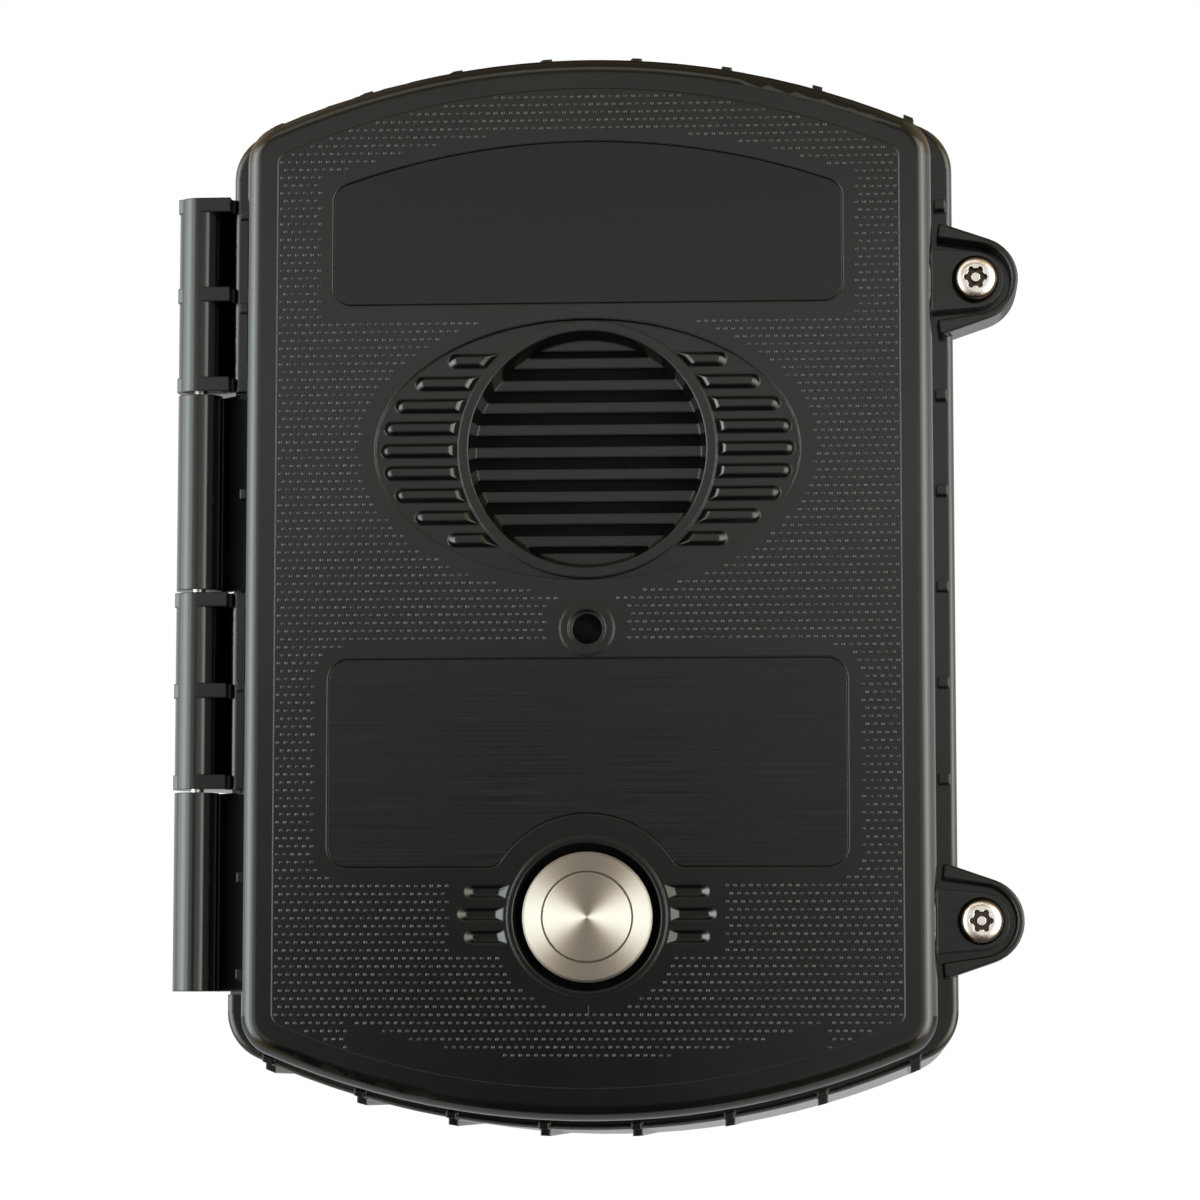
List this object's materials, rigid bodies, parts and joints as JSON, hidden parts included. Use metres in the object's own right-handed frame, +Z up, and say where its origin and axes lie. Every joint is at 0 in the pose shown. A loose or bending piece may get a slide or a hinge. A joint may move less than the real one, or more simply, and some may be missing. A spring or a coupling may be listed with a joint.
{
  "type": "wireless wall intercom",
  "caption": "Wall call box with a hinged arched door, slatted speaker grille, microphone port and a sprung metal push button.",
  "frame": {"origin": "centre of the flat rear face that lies on the wall", "axes": "+X to the right seen from the front, +Y from the wall face into the wall, +Z up"},
  "size_m": [0.1898, 0.0854, 0.2454],
  "materials": {
    "black_housing": "moulded satin black plastic",
    "black_polycarbonate": "plain moulded black plastic",
    "stainless": "turned and brushed stainless steel",
    "brass": "turned brass",
    "plated_steel": "bright zinc plate",
    "cell_jacket": "printed film sleeve, plain",
    "ferrite": "pressed ferrite",
    "black_paper_cone": "coated black paper",
    "black_rubber": "soft black rubber",
    "label_plate": "finely brushed black film",
    "board_green": "solder resist over glass fibre",
    "switch_red": "moulded plastic",
    "capacitor_sleeve": "shrunk sleeve",
    "header_white": "natural nylon"
  },
  "bodies": {
    "root": {"rear_housing": "black_housing", "hinge_pin": "stainless", "threaded_inserts": "brass", "battery_tray": "black_polycarbonate", "tray_screws": "plated_steel", "battery_cell_1": "cell_jacket", "battery_cell_2": "cell_jacket", "battery_cell_3": "cell_jacket", "battery_cell_4": "cell_jacket", "battery_cell_5": "cell_jacket", "battery_cell_6": "cell_jacket", "battery_contact_plates": "plated_steel", "battery_leaf_springs": "plated_steel", "upper_battery_strap": "black_polycarbonate", "lower_battery_strap": "black_polycarbonate", "strap_screws": "plated_steel"},
    "door": {"door": "black_housing", "door_gasket": "black_rubber", "upper_label_plate": "label_plate", "lower_label_plate": "label_plate", "speaker_basket": "plated_steel", "speaker_magnet": "ferrite", "speaker_cone": "black_paper_cone", "speaker_surround": "black_rubber", "speaker_dust_cap": "black_paper_cone", "speaker_gasket": "black_rubber", "splash_screen": "black_paper_cone", "speaker_clamps": "black_polycarbonate", "speaker_screws": "plated_steel", "microphone_boot": "black_rubber", "microphone_capsule": "plated_steel", "circuit_board": "board_green", "board_screws": "plated_steel", "radio_shield": "plated_steel", "processor_chip": "black_polycarbonate", "switch_block": "switch_red", "capacitors": "capacitor_sleeve", "board_headers": "header_white", "aerial_socket": "brass", "aerial": "black_rubber", "button_body": "stainless", "button_seal": "black_rubber", "button_nut": "stainless", "button_contact_block": "black_polycarbonate", "button_terminals": "plated_steel", "button_spring": "plated_steel"},
    "button_cap": {"button_cap": "stainless"},
    "upper_screw_ring": {"upper_screw_ring": "stainless"},
    "upper_cover_screw": {"upper_cover_screw": "stainless"},
    "lower_screw_ring": {"lower_screw_ring": "stainless"},
    "lower_cover_screw": {"lower_cover_screw": "stainless"}
  },
  "joints": [
    {"name": "door_hinge", "type": "hinge", "parent": "root", "child": "door", "pos_m": [-0.089, -0.068, 0], "axis": [0, 0, -1], "range_deg": [0, 170]},
    {"name": "button_press", "type": "slide", "parent": "door", "child": "button_cap", "axis": [0, 1, 0], "range_m": [0, 0.0015], "stiffness_N_per_m": 800, "springref_m": -0.003, "deforming": ["button_spring"]},
    {"name": "upper_screw_back_out", "type": "slide", "parent": "door", "child": "upper_screw_ring", "axis": [0, -1, 0], "range_m": [0, 0.006]},
    {"name": "upper_screw_turn", "type": "hinge", "parent": "upper_screw_ring", "child": "upper_cover_screw", "pos_m": [0.0863, -0.07, 0.0686], "axis": [0, -1, 0], "range_deg": [0, 2160]},
    {"name": "lower_screw_back_out", "type": "slide", "parent": "door", "child": "lower_screw_ring", "axis": [0, -1, 0], "range_m": [0, 0.006]},
    {"name": "lower_screw_turn", "type": "hinge", "parent": "lower_screw_ring", "child": "lower_cover_screw", "pos_m": [0.0863, -0.07, -0.0745], "axis": [0, -1, 0], "range_deg": [0, 2160]}
  ],
  "couplings": [
    {"joint": "upper_screw_turn", "follows": "upper_screw_back_out", "rad_per_m": 6283.2},
    {"joint": "lower_screw_turn", "follows": "lower_screw_back_out", "rad_per_m": 6283.2}
  ]
}
